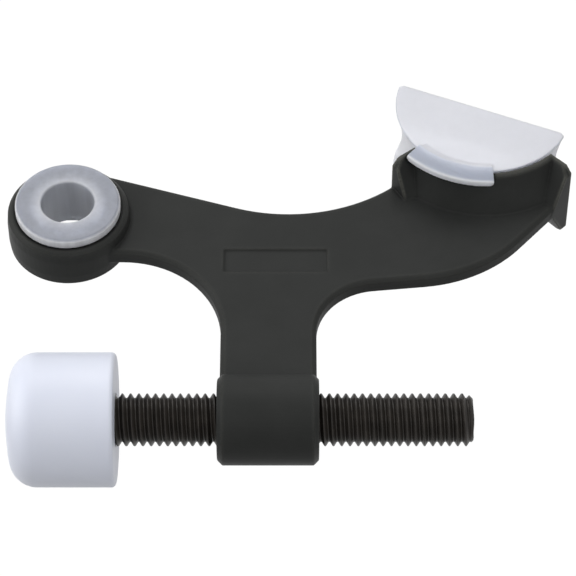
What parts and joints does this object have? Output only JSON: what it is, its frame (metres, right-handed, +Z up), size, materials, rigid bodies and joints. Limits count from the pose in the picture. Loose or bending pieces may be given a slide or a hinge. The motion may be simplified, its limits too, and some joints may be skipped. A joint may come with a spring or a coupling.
{
  "type": "hinge pin door stop",
  "caption": "Flat cast arm that hangs on a door's hinge pin, with a lined eye, a screw with a soft cap that meets the wall trim, and a swivelling soft pad that meets the door.",
  "frame": {"origin": "on the hinge pin bore's axis, at the eye's underside", "axes": "+Z up the hinge pin, +X along the adjusting screw away from its cap, +Y towards the pad's side"},
  "size_m": [0.0898, 0.0729, 0.0204],
  "materials": {
    "black_casting": "satin black coating on a zinc die casting",
    "natural_nylon": "uncoloured nylon, slightly see-through",
    "black_screw": "black oxide on rolled thread",
    "white_rubber": "smooth white moulded rubber",
    "clear_pad": "soft uncoloured plastic, frosted and see-through"
  },
  "bodies": {
    "arm": {"arm_casting": "black_casting", "hinge_bushing": "natural_nylon"},
    "bumper": {"bumper_cap": "white_rubber"},
    "screw": {"adjusting_screw": "black_screw"},
    "pad": {"swivel_pad": "clear_pad"}
  },
  "joints": [
    {"name": "screw_feed", "type": "slide", "parent": "arm", "child": "bumper", "axis": [1, 0, 0], "range_m": [-0.022, 0.0148]},
    {"name": "screw_turn", "type": "hinge", "parent": "bumper", "child": "screw", "pos_m": [0.0009, -0.0392, 0.0038], "axis": [1, 0, 0], "range_deg": [-6336, 4260]},
    {"name": "pad_swivel", "type": "hinge", "parent": "arm", "child": "pad", "pos_m": [0.0665, 0.0188, 0.0038], "axis": [0, 0, 1], "range_deg": [0, 38.4]}
  ],
  "couplings": [
    {"joint": "screw_feed", "follows": "screw_turn", "m_per_rad": 0.00019894}
  ]
}
